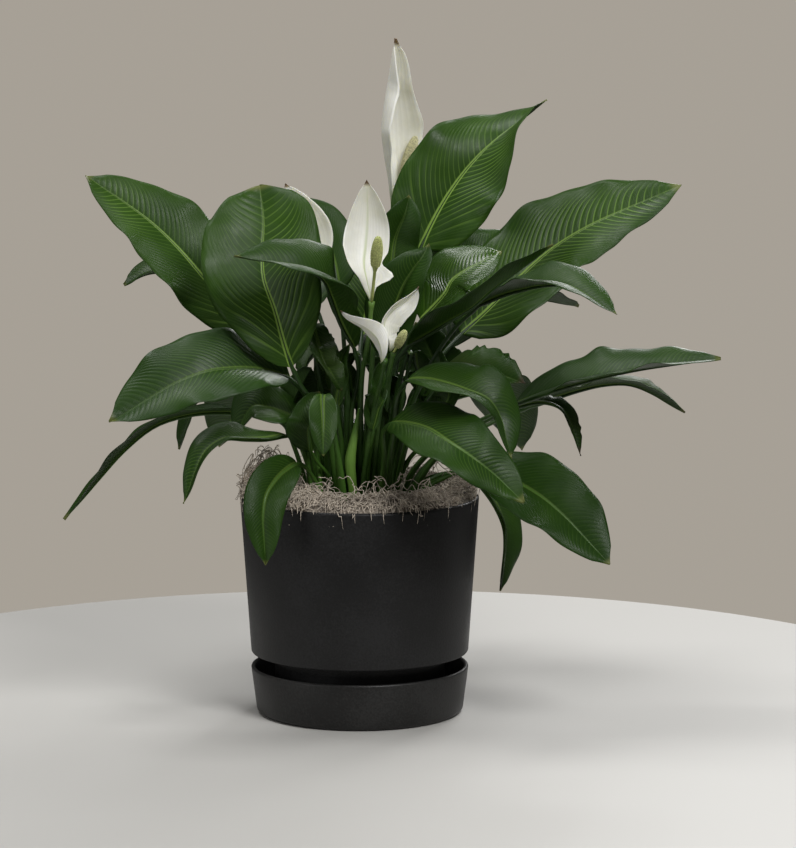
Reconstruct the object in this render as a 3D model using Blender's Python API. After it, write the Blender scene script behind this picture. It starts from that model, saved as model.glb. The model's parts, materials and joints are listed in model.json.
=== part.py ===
"""Potted peace lily: a glazed pot on its saucer, filled with soil, topped with moss and planted.

Metres, +Z up. The origin is the centre of the saucer's underside, and -Y is the front.
A leaf is one solid, its stalk and its blade together. A flower is three: stalk, spathe and spadix.
"""

import itertools
import math

import bmesh
import bpy
import numpy as np

# Driving dimensions.
GAP = 0.0003             # left between pieces that touch
SIDES = 44               # facets round a turned piece

SAUCER_BASE_RADIUS = 0.122
SAUCER_RIM_RADIUS = 0.128
SAUCER_HEIGHT = 0.055
SAUCER_WALL = 0.005
SAUCER_FLOOR = 0.008
SAUCER_EDGE = 0.006      # rounding of the saucer's lower edge

POT_RIM_RADIUS = 0.140
POT_RIM_HEIGHT = 0.256
POT_LOW_RADIUS = 0.128
POT_LOW_HEIGHT = 0.071
POT_EDGE = 0.003         # rounding of the pot's lower edge
POT_WALL = 0.0065
POT_FLOOR = 0.012
FOOT_RADIUS = 0.100      # recessed ring that the pot stands on, inside the saucer
FOOT_WALL = 0.010
DRAIN_RADIUS = 0.009

SOIL_TOP = 0.235
MOSS_INNER_RADIUS = 0.082
MOSS_OUTER_RADIUS = 0.1385
MOSS_DEPTH = 0.011       # above the rim, in the middle of the ring
MOSS_HEAP = 0.024        # extra depth of the heap on the left
MOSS_HEAP_ANGLE = math.radians(188)
MOSS_HEAP_SPREAD = math.radians(38)

CROWN_RADIUS = 0.060     # the stalks leave the soil inside this circle
CROWN_HEART = 0.015      # and the tallest ones about this far from its middle
LOW_LEAF = 0.2           # height of the tip of the lowest leaves
TALL_LEAF = 0.7          # and of the tallest
LEAF_FOOT = 0.0042       # radius of a leaf's stalk where it leaves the soil
LEAF_NECK = 0.0022       # and where its blade begins
FLOWER_FOOT = 0.0034
FLOWER_NECK = 0.0024
LEAF_THICKNESS = 0.0012
SPATHE_THICKNESS = 0.0014
SPADIX_RADIUS = 0.0060   # of a spadix of the next length
SPADIX_LENGTH = 0.040

SPADIX_LEAN = 0.30       # towards the open side of the spathe
SPADIX_STEM_SHARE = 0.35            # radius of its own stem, as a part of its own
SPADIX_SWELL = ((0.0, 0.38), (0.12, 0.9), (0.45, 1.0), (0.85, 0.75))    # radius along its length
JOINT_GAP = 0.0012       # left along a flower's joint, where slanted faces lie close
JOINT_RISE = 0.0004      # how far a flower's stalk rises to a point under its spadix

CLIP_BORE = 0.0042
CLIP_RADIUS = 0.0075
CLIP_HEIGHT = 0.008
CLIP_SIDES = 12

STATIONS = 36            # points along each stem, foot to tip
NECK = 16                # the one where the stalk ends and the blade begins
STALK_STATIONS = (5, 10, 14, NECK)
BLADE_STATIONS = (17, 19, 22, 25, 28, 31, 33, 34)
CLIP_STATION = 12        # where the clip sits on its stalk
STALK_BEND = (0.30, 0.30, 0.55)     # where a stalk bends outward, as a part of the way to its neck
# Forms of a blade: how much of its fold its inner and outer halves take, and how slender it is
# towards its neck and its tip.
LEAF_FORM = (1.3, 0.6, 0.66, 0.80)
BROAD_LEAF_FORM = (1.3, 0.6, 0.42, 0.72)
ROUNDED_LEAF_FORM = (1.3, 0.6, 0.75, 0.55)
BROAD_LEAF = 0.105       # width from which a leaf has the broad form
SPATHE_FORM = (0.6, 1.3, 0.85, 0.90)
CLEARANCE = 0.011        # what crowded stems and blades are moved apart to
POT_CLEARANCE = 0.007    # what a blade that hangs over the pot's wall keeps from it
ROUNDS = 60
PUSH = 0.0016            # how far they move in one round

# Leaves: name, neck, middle and tip of the blade, width, way the upper face looks, fold in degrees,
# and for some how far the blade twists from its middle to its tip, in degrees, and its own form.
LEAVES = (
    # left side
    ("left_high", (-0.135, 0.05, 0.445), (-0.23, 0.075, 0.555), (-0.325, 0.09, 0.625),
     0.108, (0.35, -0.8, 0.5), 14),
    ("left_behind", (-0.175, 0.12, 0.475), (-0.24, 0.14, 0.505), (-0.285, 0.14, 0.49),
     0.062, (0.1, -0.3, 1), 22),
    ("left_upright", (-0.08, -0.07, 0.415), (-0.1, -0.06, 0.52), (-0.115, -0.01, 0.62),
     0.138, (0, -0.95, 0.3), 16, 0, ROUNDED_LEAF_FORM),
    ("left_low", (-0.075, -0.06, 0.4), (-0.175, -0.115, 0.415), (-0.28, -0.15, 0.362),
     0.104, (-0.1, -0.75, 0.7), 14),
    ("left_drooping", (-0.105, 0.02, 0.345), (-0.235, 0, 0.34), (-0.345, -0.02, 0.23),
     0.038, (-0.2, 0.05, 1), 26),
    ("left_hidden", (-0.115, 0.07, 0.36), (-0.185, 0.08, 0.37), (-0.215, 0.07, 0.3),
     0.056, (-0.2, -0.3, 1), 20),
    ("left_curled", (-0.08, -0.04, 0.335), (-0.165, -0.09, 0.33), (-0.2, -0.12, 0.265),
     0.040, (-0.4, -0.5, 0.9), 26),
    ("left_shaded", (-0.07, -0.02, 0.34), (-0.115, -0.03, 0.36), (-0.145, -0.035, 0.33),
     0.064, (-0.2, -0.5, 0.8), 18),
    # front and middle
    ("centre_arching", (-0.005, -0.06, 0.435), (-0.045, -0.12, 0.525), (-0.138, -0.16, 0.55),
     0.082, (0.35, -0.42, 0.9), 26),
    ("over_rim", (-0.07, -0.085, 0.305), (-0.105, -0.14, 0.275), (-0.105, -0.155, 0.2),
     0.050, (0.1, -1, 0.2), 24),
    ("front_small", (-0.04, -0.09, 0.385), (-0.04, -0.115, 0.355), (-0.04, -0.125, 0.32),
     0.034, (0.1, -1, 0.2), 18),
    ("front_young", (-0.025, -0.05, 0.365), (-0.02, -0.05, 0.405), (-0.01, -0.045, 0.44),
     0.022, (-0.3, -1, 0.1), 30),
    ("front_withered", (-0.055, -0.035, 0.455), (-0.045, -0.05, 0.435), (-0.03, -0.055, 0.405),
     0.034, (0.3, -0.8, 0.5), 30),
    ("middle_upright", (0.042, -0.02, 0.5), (0.048, -0.02, 0.555), (0.058, -0.005, 0.608),
     0.056, (0.1, -1, 0.2), 24),
    ("middle_narrow", (0.03, -0.02, 0.42), (0.045, -0.03, 0.49), (0.075, -0.01, 0.555),
     0.064, (-0.3, -0.9, 0.2), 24),
    ("middle_short", (0.085, 0.03, 0.36), (0.085, 0.035, 0.42), (0.065, 0.045, 0.455),
     0.07, (-0.2, -0.9, 0.3), 20),
    ("glossy_middle", (0.07, -0.035, 0.465), (0.105, -0.035, 0.51), (0.165, -0.02, 0.545),
     0.074, (-0.3, -0.7, 0.6), 14),
    ("behind_glossy", (0.075, 0.1, 0.5), (0.125, 0.12, 0.525), (0.18, 0.13, 0.555),
     0.076, (-0.2, -0.7, 0.7), 18),
    ("behind_left", (-0.025, 0.06, 0.49), (-0.04, 0.09, 0.55), (-0.075, 0.11, 0.6),
     0.062, (0.2, -0.8, 0.5), 22),
    # right side
    ("right_highest", (0.07, 0.03, 0.54), (0.13, 0.05, 0.64), (0.22, 0.07, 0.715),
     0.12, (-0.1, -0.9, 0.4), 18, 82),
    ("right_high", (0.12, 0.04, 0.435), (0.235, 0.07, 0.545), (0.38, 0.08, 0.615),
     0.124, (-0.3, -0.75, 0.6), 14),
    ("right_nodding", (0.135, -0.05, 0.485), (0.225, -0.11, 0.515), (0.29, -0.16, 0.485),
     0.062, (0.1, -0.35, 1), 26),
    ("right_leaning", (0.05, -0.07, 0.44), (0.135, -0.12, 0.49), (0.22, -0.12, 0.56),
     0.066, (-0.45, 0.1, 0.9), 26),
    ("right_long", (0.18, -0.02, 0.365), (0.29, -0.06, 0.405), (0.415, -0.07, 0.425),
     0.086, (-0.1, -0.25, 1), 22),
    ("right_thin", (0.2, 0.04, 0.355), (0.31, 0.06, 0.38), (0.385, 0.06, 0.345),
     0.044, (0.0, -0.05, 1), 28),
    ("right_wisp", (0.18, -0.005, 0.36), (0.235, -0.01, 0.36), (0.258, -0.02, 0.305),
     0.022, (0.5, -0.4, 1), 28),
    ("right_bent", (0.055, -0.08, 0.4), (0.135, -0.15, 0.39), (0.172, -0.18, 0.325),
     0.07, (0.3, -0.6, 0.85), 22),
    ("right_front", (0.035, -0.09, 0.352), (0.11, -0.165, 0.345), (0.185, -0.21, 0.28),
     0.082, (0.1, -0.85, 0.6), 14),
    ("right_low", (0.135, -0.055, 0.295), (0.21, -0.11, 0.27), (0.285, -0.15, 0.2),
     0.094, (0.2, -0.8, 0.6), 16),
    ("over_rim_right", (0.135, 0.02, 0.265), (0.17, 0.02, 0.215), (0.165, 0.01, 0.14),
     0.046, (1, -0.5, 0.3), 30),
    ("right_ragged", (0.1, -0.06, 0.402), (0.145, -0.09, 0.412), (0.19, -0.1, 0.4),
     0.056, (-0.1, -0.7, 0.8), 26),
    # back
    ("back_high", (0, 0.13, 0.43), (0.01, 0.22, 0.51), (-0.01, 0.32, 0.53),
     0.11, (0, -0.6, 0.8), 18),
    ("back_left_wide", (-0.09, 0.12, 0.42), (-0.16, 0.21, 0.475), (-0.23, 0.29, 0.465),
     0.105, (0.2, -0.3, 1), 18),
    ("back_right_wide", (0.1, 0.13, 0.41), (0.18, 0.21, 0.465), (0.27, 0.28, 0.45),
     0.105, (-0.2, -0.3, 1), 18),
    ("back_left_low", (-0.08, 0.12, 0.335), (-0.14, 0.21, 0.345), (-0.18, 0.3, 0.27),
     0.09, (0.1, 0.1, 1), 20),
    ("back_right_low", (0.08, 0.11, 0.34), (0.155, 0.19, 0.35), (0.2, 0.27, 0.27),
     0.1, (-0.1, 0.1, 1), 20),
    ("back_low", (0.01, 0.14, 0.31), (0, 0.22, 0.3), (-0.02, 0.28, 0.2),
     0.085, (0, 0.3, 1), 20),
    ("back_middle", (0.035, 0.14, 0.38), (0.06, 0.23, 0.425), (0.09, 0.33, 0.4),
     0.105, (0, -0.2, 1), 18),
    ("back_upright", (0.075, 0.12, 0.49), (0.11, 0.16, 0.57), (0.145, 0.2, 0.635),
     0.085, (-0.2, -0.8, 0.5), 20),
    ("back_left_upright", (-0.05, 0.14, 0.46), (-0.09, 0.2, 0.53), (-0.13, 0.27, 0.575),
     0.09, (0.2, -0.7, 0.6), 18),
)


# Flowers: the same sizes for the spathe, then the lengths of the spadix's own stem and of the spadix.
# The low left one hasn't opened, and shows no spadix.
FLOWERS = (
    ("top", (0.04, 0.1, 0.59), (0.033, 0.115, 0.685), (0.045, 0.1, 0.785),
     0.062, (0.75, -0.66, 0), 46, 0.040, 0.044),
    ("middle", (0.002, -0.112, 0.495), (0.01, -0.085, 0.575), (0.01, -0.095, 0.63),
     0.052, (0.05, -1, 0.1), 24, 0.05, 0.040),
    ("low_right", (0.04, -0.105, 0.435), (0.045, -0.085, 0.465), (0.07, -0.09, 0.508),
     0.034, (0.5, -0.8, -0.1), 34, 0.01, 0.026),
    ("low_left", (0.03, -0.135, 0.43), (0.02, -0.13, 0.465), (-0.015, -0.135, 0.492),
     0.024, (0.5, 0.8, 0.3), 24, 0, 0),
    ("back", (-0.07, 0, 0.5), (-0.06, 0.02, 0.555), (-0.085, 0.02, 0.62),
     0.06, (0.35, -0.9, 0.1), 26, 0.016, 0.04),
)
ROLLED_LEAF = ("rolled", (-0.01, -0.055, 0.305), (-0.005, -0.062, 0.335), (0, -0.07, 0.367),
               0.011, (0, -1, 0), 0)

COLOURS = {
    # name: base colour, roughness
    "saucer_glaze": ((0.016, 0.016, 0.017), 0.42),
    "pot_glaze": ((0.012, 0.012, 0.013), 0.48),
    "potting_soil": ((0.030, 0.019, 0.012), 0.95),
    "dry_moss": ((0.300, 0.245, 0.190), 0.95),
    "leaf_green": ((0.018, 0.075, 0.014), 0.35),
    "bud_green": ((0.110, 0.260, 0.050), 0.40),
    "flower_stalk_green": ((0.090, 0.200, 0.045), 0.45),
    "spathe_white": ((0.780, 0.770, 0.680), 0.55),
    "spadix_yellow": ((0.420, 0.440, 0.140), 0.70),
    "clip_green": ((0.200, 0.230, 0.170), 0.50),
}


def material(name):
    """Return the finish of that name, made on its first use."""
    found = bpy.data.materials.get(name)
    if found:
        return found
    colour, roughness = COLOURS[name]
    made = bpy.data.materials.new(name)
    made.use_nodes = True
    shader = made.node_tree.nodes["Principled BSDF"]
    shader.inputs["Base Color"].default_value = (*colour, 1.0)
    shader.inputs["Roughness"].default_value = roughness
    shader.inputs["Metallic"].default_value = 0.0
    return made


def add_object(name, bm, finish, sharp_degrees=40):
    """Turn a closed bmesh into a named object with its faces pointing out."""
    bmesh.ops.recalc_face_normals(bm, faces=bm.faces)
    mesh = bpy.data.meshes.new(name)
    bm.to_mesh(mesh)
    bm.free()
    mesh.materials.append(material(finish))
    mesh.shade_smooth()
    mesh.set_sharp_from_angle(angle=math.radians(sharp_degrees))
    piece = bpy.data.objects.new(name, mesh)
    bpy.context.scene.collection.objects.link(piece)
    return piece


# ---- pot, saucer, soil and moss

def arc(centre, radius, start, end, steps):
    """Points of a round corner in the (radius, height) plane, angles in degrees."""
    angles = [math.radians(start + (end - start) * k / steps) for k in range(steps + 1)]
    return [(centre[0] + radius * math.cos(a), centre[1] + radius * math.sin(a)) for a in angles]


def turned(name, profile, finish):
    """Spin a (radius, height) outline round Z. It is closed, or it starts and ends on the axis."""
    bm = bmesh.new()
    verts = [bm.verts.new((r, 0.0, z)) for r, z in profile]
    edges = [bm.edges.new(pair) for pair in zip(verts, verts[1:])]
    if profile[0][0] > 0:
        edges.append(bm.edges.new((verts[-1], verts[0])))
    bmesh.ops.spin(bm, geom=verts + edges, cent=(0, 0, 0), axis=(0, 0, 1),
                   angle=math.tau, steps=SIDES, use_merge=True)
    bmesh.ops.remove_doubles(bm, verts=bm.verts, dist=1e-6)
    return add_object(name, bm, finish)


def make_saucer():
    """A low dish with a slightly flared wall and a rounded lower edge."""
    half = SAUCER_WALL / 2
    rim_centre = (SAUCER_RIM_RADIUS - half, SAUCER_HEIGHT - half)
    profile = [(0.0, 0.0)]
    profile += arc((SAUCER_BASE_RADIUS - SAUCER_EDGE, SAUCER_EDGE), SAUCER_EDGE, -90, 0, 3)
    profile += arc(rim_centre, half, 0, 180, 4)
    profile += [(SAUCER_BASE_RADIUS - SAUCER_WALL, SAUCER_FLOOR), (0.0, SAUCER_FLOOR)]
    return turned("saucer", profile, "saucer_glaze")


def pot_inner_radius(height):
    """Radius of the pot's inner wall at a height."""
    share = (height - POT_LOW_HEIGHT) / (POT_RIM_HEIGHT - POT_LOW_HEIGHT)
    return POT_LOW_RADIUS + (POT_RIM_RADIUS - POT_LOW_RADIUS) * share - POT_WALL


def make_pot():
    """A tapered pot with a drain hole, standing on a recessed ring inside the saucer."""
    half = POT_WALL / 2
    floor = POT_LOW_HEIGHT + POT_FLOOR
    stand = SAUCER_FLOOR + GAP
    profile = [(DRAIN_RADIUS, POT_LOW_HEIGHT), (FOOT_RADIUS - FOOT_WALL, POT_LOW_HEIGHT)]
    profile += [(FOOT_RADIUS - FOOT_WALL, stand), (FOOT_RADIUS, stand), (FOOT_RADIUS, POT_LOW_HEIGHT)]
    profile += arc((POT_LOW_RADIUS - POT_EDGE, POT_LOW_HEIGHT + POT_EDGE), POT_EDGE, -90, 0, 2)
    profile += arc((POT_RIM_RADIUS - half, POT_RIM_HEIGHT - half), half, 0, 180, 4)
    profile += [(pot_inner_radius(floor), floor), (DRAIN_RADIUS, floor)]
    return turned("pot", profile, "pot_glaze")


def make_soil():
    """The soil fills the pot up to a little below its rim."""
    bottom = POT_LOW_HEIGHT + POT_FLOOR + GAP
    profile = [(0.0, bottom), (pot_inner_radius(bottom) - GAP, bottom)]
    profile += [(pot_inner_radius(SOIL_TOP) - GAP, SOIL_TOP), (0.0, SOIL_TOP)]
    return turned("soil", profile, "potting_soil")


def moss_top(angle, radius):
    """Height of the moss: a low rounded ring with lumps, heaped up on the left."""
    across = (radius - MOSS_INNER_RADIUS) / (MOSS_OUTER_RADIUS - MOSS_INNER_RADIUS)
    swell = math.sin(math.pi * min(max(across, 0.0), 1.0)) ** 0.6
    away = math.remainder(angle - MOSS_HEAP_ANGLE, math.tau)
    heap = MOSS_HEAP * math.exp(-(away / MOSS_HEAP_SPREAD) ** 2)
    lumps = 0.0022 * math.sin(5 * angle + 1) + 0.0016 * math.sin(11 * angle + 80 * radius)
    return POT_RIM_HEIGHT + 0.002 + swell * (MOSS_DEPTH + heap + lumps)


def make_moss():
    """A mat of moss on the soil round the crown, over the rim but not past it."""
    bm = bmesh.new()
    under = SOIL_TOP + GAP
    inner_wall = pot_inner_radius(POT_RIM_HEIGHT - POT_WALL / 2) - GAP
    over_rim = POT_RIM_HEIGHT + GAP
    width = MOSS_OUTER_RADIUS - MOSS_INNER_RADIUS
    domed = [MOSS_OUTER_RADIUS - width * share for share in (0.0, 0.15, 0.4, 0.7, 1.0)]
    rings = []
    for k in range(SIDES):
        angle = math.tau * k / SIDES
        outline = [(MOSS_INNER_RADIUS, under), (pot_inner_radius(SOIL_TOP) - GAP, under)]
        outline += [(inner_wall, POT_RIM_HEIGHT - POT_WALL / 2), (inner_wall, over_rim)]
        outline += [(MOSS_OUTER_RADIUS, over_rim)]
        outline += [(radius, moss_top(angle, radius)) for radius in domed]
        x, y = math.cos(angle), math.sin(angle)
        rings.append([bm.verts.new((r * x, r * y, z)) for r, z in outline])
    for ring, following in zip(rings, rings[1:] + rings[:1]):
        for k in range(len(ring)):
            after = (k + 1) % len(ring)
            bm.faces.new((ring[k], ring[after], following[after], following[k]))
    return add_object("moss", bm, "dry_moss")


# ---- stems: the line of each leaf or flower from its foot in the soil to its tip

def foot_of(neck, tip):
    """Where a stem leaves the soil: low leaves grow at the outside of the crown, tall ones inside."""
    lean = math.atan2(neck[1] + 0.3 * tip[1], neck[0] + 0.3 * tip[0])
    tall = min(max((tip[2] - LOW_LEAF) / (TALL_LEAF - LOW_LEAF), 0.0), 1.0)
    radius = CROWN_RADIUS + (CROWN_HEART - CROWN_RADIUS) * tall
    return (radius * math.cos(lean), radius * math.sin(lean), SOIL_TOP + GAP)


def smooth_line(knots, count):
    """Evenly spaced points on a smooth curve through the knots."""
    knots = [np.array(knot, dtype=float) for knot in knots]
    knots = [2 * knots[0] - knots[1]] + knots + [2 * knots[-1] - knots[-2]]
    dense = []
    for a, b, c, d in zip(knots, knots[1:], knots[2:], knots[3:]):
        for u in np.linspace(0, 1, 24, endpoint=False):
            bend = (2 * a - 5 * b + 4 * c - d) * u ** 2 + (3 * b - a - 3 * c + d) * u ** 3
            dense.append(0.5 * (2 * b + (c - a) * u + bend))
    dense = np.array(dense + [knots[-2]])
    run = np.concatenate(([0.0], np.cumsum(np.linalg.norm(np.diff(dense, axis=0), axis=1))))
    wanted = np.linspace(0, run[-1], count)
    return np.stack([np.interp(wanted, run, dense[:, axis]) for axis in range(3)], axis=1)


def stem_line(neck, middle, tip):
    """Stations from the foot of a stem, up its stalk to the neck, then along its blade to the tip."""
    foot = np.array(foot_of(neck, tip))
    neck = np.array(neck)
    rise = foot + (neck - foot) * np.array(STALK_BEND)
    whole = smooth_line((foot, rise, neck, middle, tip), 400)
    at_neck = int(np.argmin(np.linalg.norm(whole - neck, axis=1)))
    stalk = whole[np.linspace(0, at_neck, NECK + 1).astype(int)]
    blade = whole[np.linspace(at_neck, len(whole) - 1, STATIONS - NECK).astype(int)]
    return np.concatenate((stalk, blade[1:]))


def blade_share(station):
    """How far along the blade a station is, from 0 at the neck to 1 at the tip."""
    return max(station - NECK, 0) / (STATIONS - 1 - NECK)


def unit(vector):
    """The same direction with a length of one."""
    return vector / (np.linalg.norm(vector) + 1e-12)


class Stem:
    """A leaf or a flower: its line, and how its blade is turned, folded and shaped."""

    def __init__(self, name, neck, middle, tip, width, face, fold, twist=0, form=None):
        form = form or (LEAF_FORM if width < BROAD_LEAF else BROAD_LEAF_FORM)
        self.name = name
        self.line = stem_line(neck, middle, tip)
        self.half_width = width / 2
        self.face = np.array(face, dtype=float)
        shares = np.array([blade_share(k) for k in range(STATIONS)])
        self.turn = math.radians(twist) * np.maximum(2 * shares - 1, 0.0)[:, None]
        self.near_slope = math.tan(math.radians(fold * form[0]))
        self.far_slope = math.tan(math.radians(fold * form[1]))
        self.slender = form[2:]

    def frames(self):
        """Direction, side and upper normal at each station, carried from mid-blade and twisted."""
        ahead = np.gradient(self.line, axis=0)
        ahead /= np.linalg.norm(ahead, axis=1)[:, None]
        middle = (NECK + STATIONS) // 2
        normals = np.zeros_like(ahead)
        normals[middle] = unit(self.face - self.face.dot(ahead[middle]) * ahead[middle])
        for k in itertools.chain(range(middle + 1, STATIONS), range(middle - 1, -1, -1)):
            last = normals[k - 1] if k > middle else normals[k + 1]
            normals[k] = unit(last - last.dot(ahead[k]) * ahead[k])
        normals = np.cos(self.turn) * normals - np.sin(self.turn) * np.cross(ahead, normals)
        return ahead, np.cross(ahead, normals), normals

    def half_at(self, share):
        """Half-width of the blade at a part of its length."""
        base, tip = self.slender
        widest = base / (base + tip)
        return self.half_width * (share / widest) ** base * ((1 - share) / (1 - widest)) ** tip

    def lift(self, across):
        """How far the blade rises above its midrib, at a part of its half-width."""
        return min(abs(across), 0.5) * self.near_slope + max(abs(across) - 0.5, 0.0) * self.far_slope

    def cloud(self):
        """Points over the whole stem and blade, one row for each station."""
        _, sides, normals = self.frames()
        rows = []
        for k in range(STATIONS):
            half = self.half_at(blade_share(k))
            row = []
            for across in (-1.0, -0.67, -0.33, 0.0, 0.33, 0.67, 1.0):
                row.append(self.line[k] + half * (across * sides[k] + self.lift(across) * normals[k]))
            rows.append(row)
        return np.array(rows)


def parted(first, second, clouds, shifts):
    """Push two stems apart where they are too near. Returns whether they were."""
    a, b = clouds[first], clouds[second]
    apart = np.maximum(a.min((0, 1)) - b.max((0, 1)), b.min((0, 1)) - a.max((0, 1)))
    if apart.max() > CLEARANCE:
        return False
    flat_a, flat_b = a.reshape(-1, 3), b.reshape(-1, 3)
    square = (flat_a ** 2).sum(1)[:, None] + (flat_b ** 2).sum(1)[None, :] - 2 * flat_a @ flat_b.T
    near_a, near_b = np.nonzero(square < CLEARANCE ** 2)
    if not len(near_a):
        return False
    way = unit((flat_a[near_a] - flat_b[near_b]).sum(0) * np.array((0.6, 1.0, 0.6)))
    across = a.shape[1]
    shifts[first][np.unique(near_a // across)] += PUSH * way
    shifts[second][np.unique(near_b // across)] -= PUSH * way
    return True


def clear_of_pot(cloud, shift):
    """Lift what would touch the moss, and push out what would touch the pot's wall."""
    radius = np.hypot(cloud[:, :, 0], cloud[:, :, 1])
    for k, across in itertools.product(range(STATIONS), range(cloud.shape[1])):
        x, y, z = cloud[k, across]
        reach = radius[k, across]
        if reach > POT_RIM_RADIUS + POT_CLEARANCE or reach < MOSS_INNER_RADIUS - POT_CLEARANCE:
            continue
        if z < POT_RIM_HEIGHT - POT_CLEARANCE and reach > POT_RIM_RADIUS - 2 * POT_CLEARANCE:
            shift[k] = PUSH * np.array((x, y, 0.0)) / reach
        elif z < moss_top(math.atan2(y, x), reach) + POT_CLEARANCE:
            shift[k] = (0.0, 0.0, PUSH)


def settle(stems):
    """Lean crowded stems and blades apart, a little at a time, with their feet held on the soil."""
    spread = np.exp(-(np.arange(-6, 7) / 3.0) ** 2)
    for _ in range(ROUNDS):
        clouds = [stem.cloud() for stem in stems]
        shifts = [np.zeros((STATIONS, 3)) for _ in stems]
        touching = [parted(a, b, clouds, shifts) for a, b in itertools.combinations(range(len(stems)), 2)]
        for stem, cloud, shift in zip(stems, clouds, shifts):
            clear_of_pot(cloud, shift)
            if shift.any():
                for axis in range(3):
                    smoothed = np.convolve(shift[:, axis], spread, mode="same")
                    shift[:, axis] = smoothed / spread.max()
                longest = np.linalg.norm(shift, axis=1).max()
                shift *= min(1.0, 2 * PUSH / longest)
                shift[0, 2] = 0.0
                stem.line += shift
        if not any(touching):
            break


# ---- solids lofted along the stems

def round_section(radius):
    """Eight points round a stalk, as (side, up), from the left edge over the top."""
    angles = [math.pi - math.tau * k / 8 for k in range(8)]
    return [(radius * math.cos(a), radius * math.sin(a)) for a in angles]


def blade_section(stem, half, thickness, keel):
    """Eight points round a folded blade: over the top from left to right, and back underneath."""
    quarter = half * stem.lift(0.5)
    edge = half * stem.lift(1.0)
    skin = thickness / 2
    over = [(-half, edge), (-half / 2, quarter + skin), (0.0, skin), (half / 2, quarter + skin)]
    under = [(half, edge), (half / 2, quarter - skin), (0.0, -skin - keel), (-half / 2, quarter - skin)]
    return over + under


def placed(section, centre, side, up):
    """Put a section's (side, up) points in space."""
    return [centre + x * side + z * up for x, z in section]


def stalk_rings(stem, stations, foot_radius, neck_radius):
    """Rings up a stalk. The first one lies flat on the soil."""
    _, sides, normals = stem.frames()
    level = np.array((1.0, 1.0, 0.0))
    rings = [placed(round_section(foot_radius), stem.line[0], sides[0] * level, normals[0] * level)]
    for k in stations:
        radius = foot_radius + (neck_radius - foot_radius) * k / NECK
        rings.append(placed(round_section(radius), stem.line[k], sides[k], normals[k]))
    return rings


def loft(name, rings, tip, finish):
    """Bridge the rings of eight, and close them with a flat face at the foot and a point at the tip."""
    bm = bmesh.new()
    loops = [[bm.verts.new(point) for point in ring] for ring in rings]
    point = bm.verts.new(tip)
    bm.faces.new(loops[0])
    for loop, following in zip(loops, loops[1:]):
        for k in range(8):
            after = (k + 1) % 8
            bm.faces.new((loop[k], loop[after], following[after], following[k]))
    for k in range(8):
        bm.faces.new((loops[-1][k], loops[-1][(k + 1) % 8], point))
    return add_object(name, bm, finish, sharp_degrees=60)


def make_leaf(stem):
    """A stalk that flattens into a folded blade, keeled underneath by its midrib."""
    _, sides, normals = stem.frames()
    rings = stalk_rings(stem, STALK_STATIONS, LEAF_FOOT, LEAF_NECK)
    for k in BLADE_STATIONS:
        share = blade_share(k)
        half = stem.half_at(share)
        keel = LEAF_NECK * (1.0 - share) ** 1.5
        section = blade_section(stem, half, LEAF_THICKNESS, keel)
        rings.append(placed(section, stem.line[k], sides[k], normals[k]))
    return loft("leaf_" + stem.name, rings, stem.line[-1], "leaf_green")


def make_rolled_leaf(stem):
    """A young leaf, still rolled into a spear."""
    _, sides, normals = stem.frames()
    rings = stalk_rings(stem, (8, NECK), LEAF_FOOT, stem.half_width)
    for k in (22, 27, 31, 34):
        radius = stem.half_width * (1.0 - blade_share(k)) ** 0.8
        rings.append(placed(round_section(radius), stem.line[k], sides[k], normals[k]))
    return loft("leaf_" + stem.name, rings, stem.line[-1], "bud_green")


def make_flower(stem, stem_length, spadix_length):
    """A stalk, the cupped spathe behind its top, and the spadix that carries on from it.

    A length of zero is a flower whose spathe hasn't opened yet, with nothing to see inside.
    """
    ahead, sides, normals = stem.frames()
    name = "flower_" + stem.name
    top = stem.line[NECK]
    rings = stalk_rings(stem, STALK_STATIONS, FLOWER_FOOT, FLOWER_NECK)
    loft(name + "_stalk", rings, top + JOINT_RISE * ahead[NECK], "flower_stalk_green")

    setback = FLOWER_NECK + SPATHE_THICKNESS / 2 + JOINT_GAP
    section = blade_section(stem, FLOWER_NECK, SPATHE_THICKNESS, 0.0)
    rings = [placed(section, top - setback * normals[NECK], sides[NECK], normals[NECK])]
    for k in BLADE_STATIONS:
        section = blade_section(stem, stem.half_at(blade_share(k)), SPATHE_THICKNESS, 0.0)
        rings.append(placed(section, stem.line[k] - setback * normals[k], sides[k], normals[k]))
    loft(name + "_spathe", rings, stem.line[-1] - setback * normals[-1], "spathe_white")

    if spadix_length == 0:
        return
    way = unit(unit(ahead[NECK - 1] + ahead[NECK]) + SPADIX_LEAN * normals[NECK])
    side = unit(np.cross(way, normals[NECK]))
    up = np.cross(side, way)
    base = top + JOINT_GAP * way + JOINT_RISE * ahead[NECK]
    radius = SPADIX_RADIUS * (spadix_length / SPADIX_LENGTH) ** 0.6
    rings = [placed(round_section(radius * SPADIX_STEM_SHARE), base, side, up)]
    for share, swell in SPADIX_SWELL:
        centre = base + (stem_length + share * spadix_length) * way
        rings.append(placed(round_section(radius * swell), centre, side, up))
    loft(name + "_spadix", rings, base + (stem_length + spadix_length) * way, "spadix_yellow")


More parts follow.
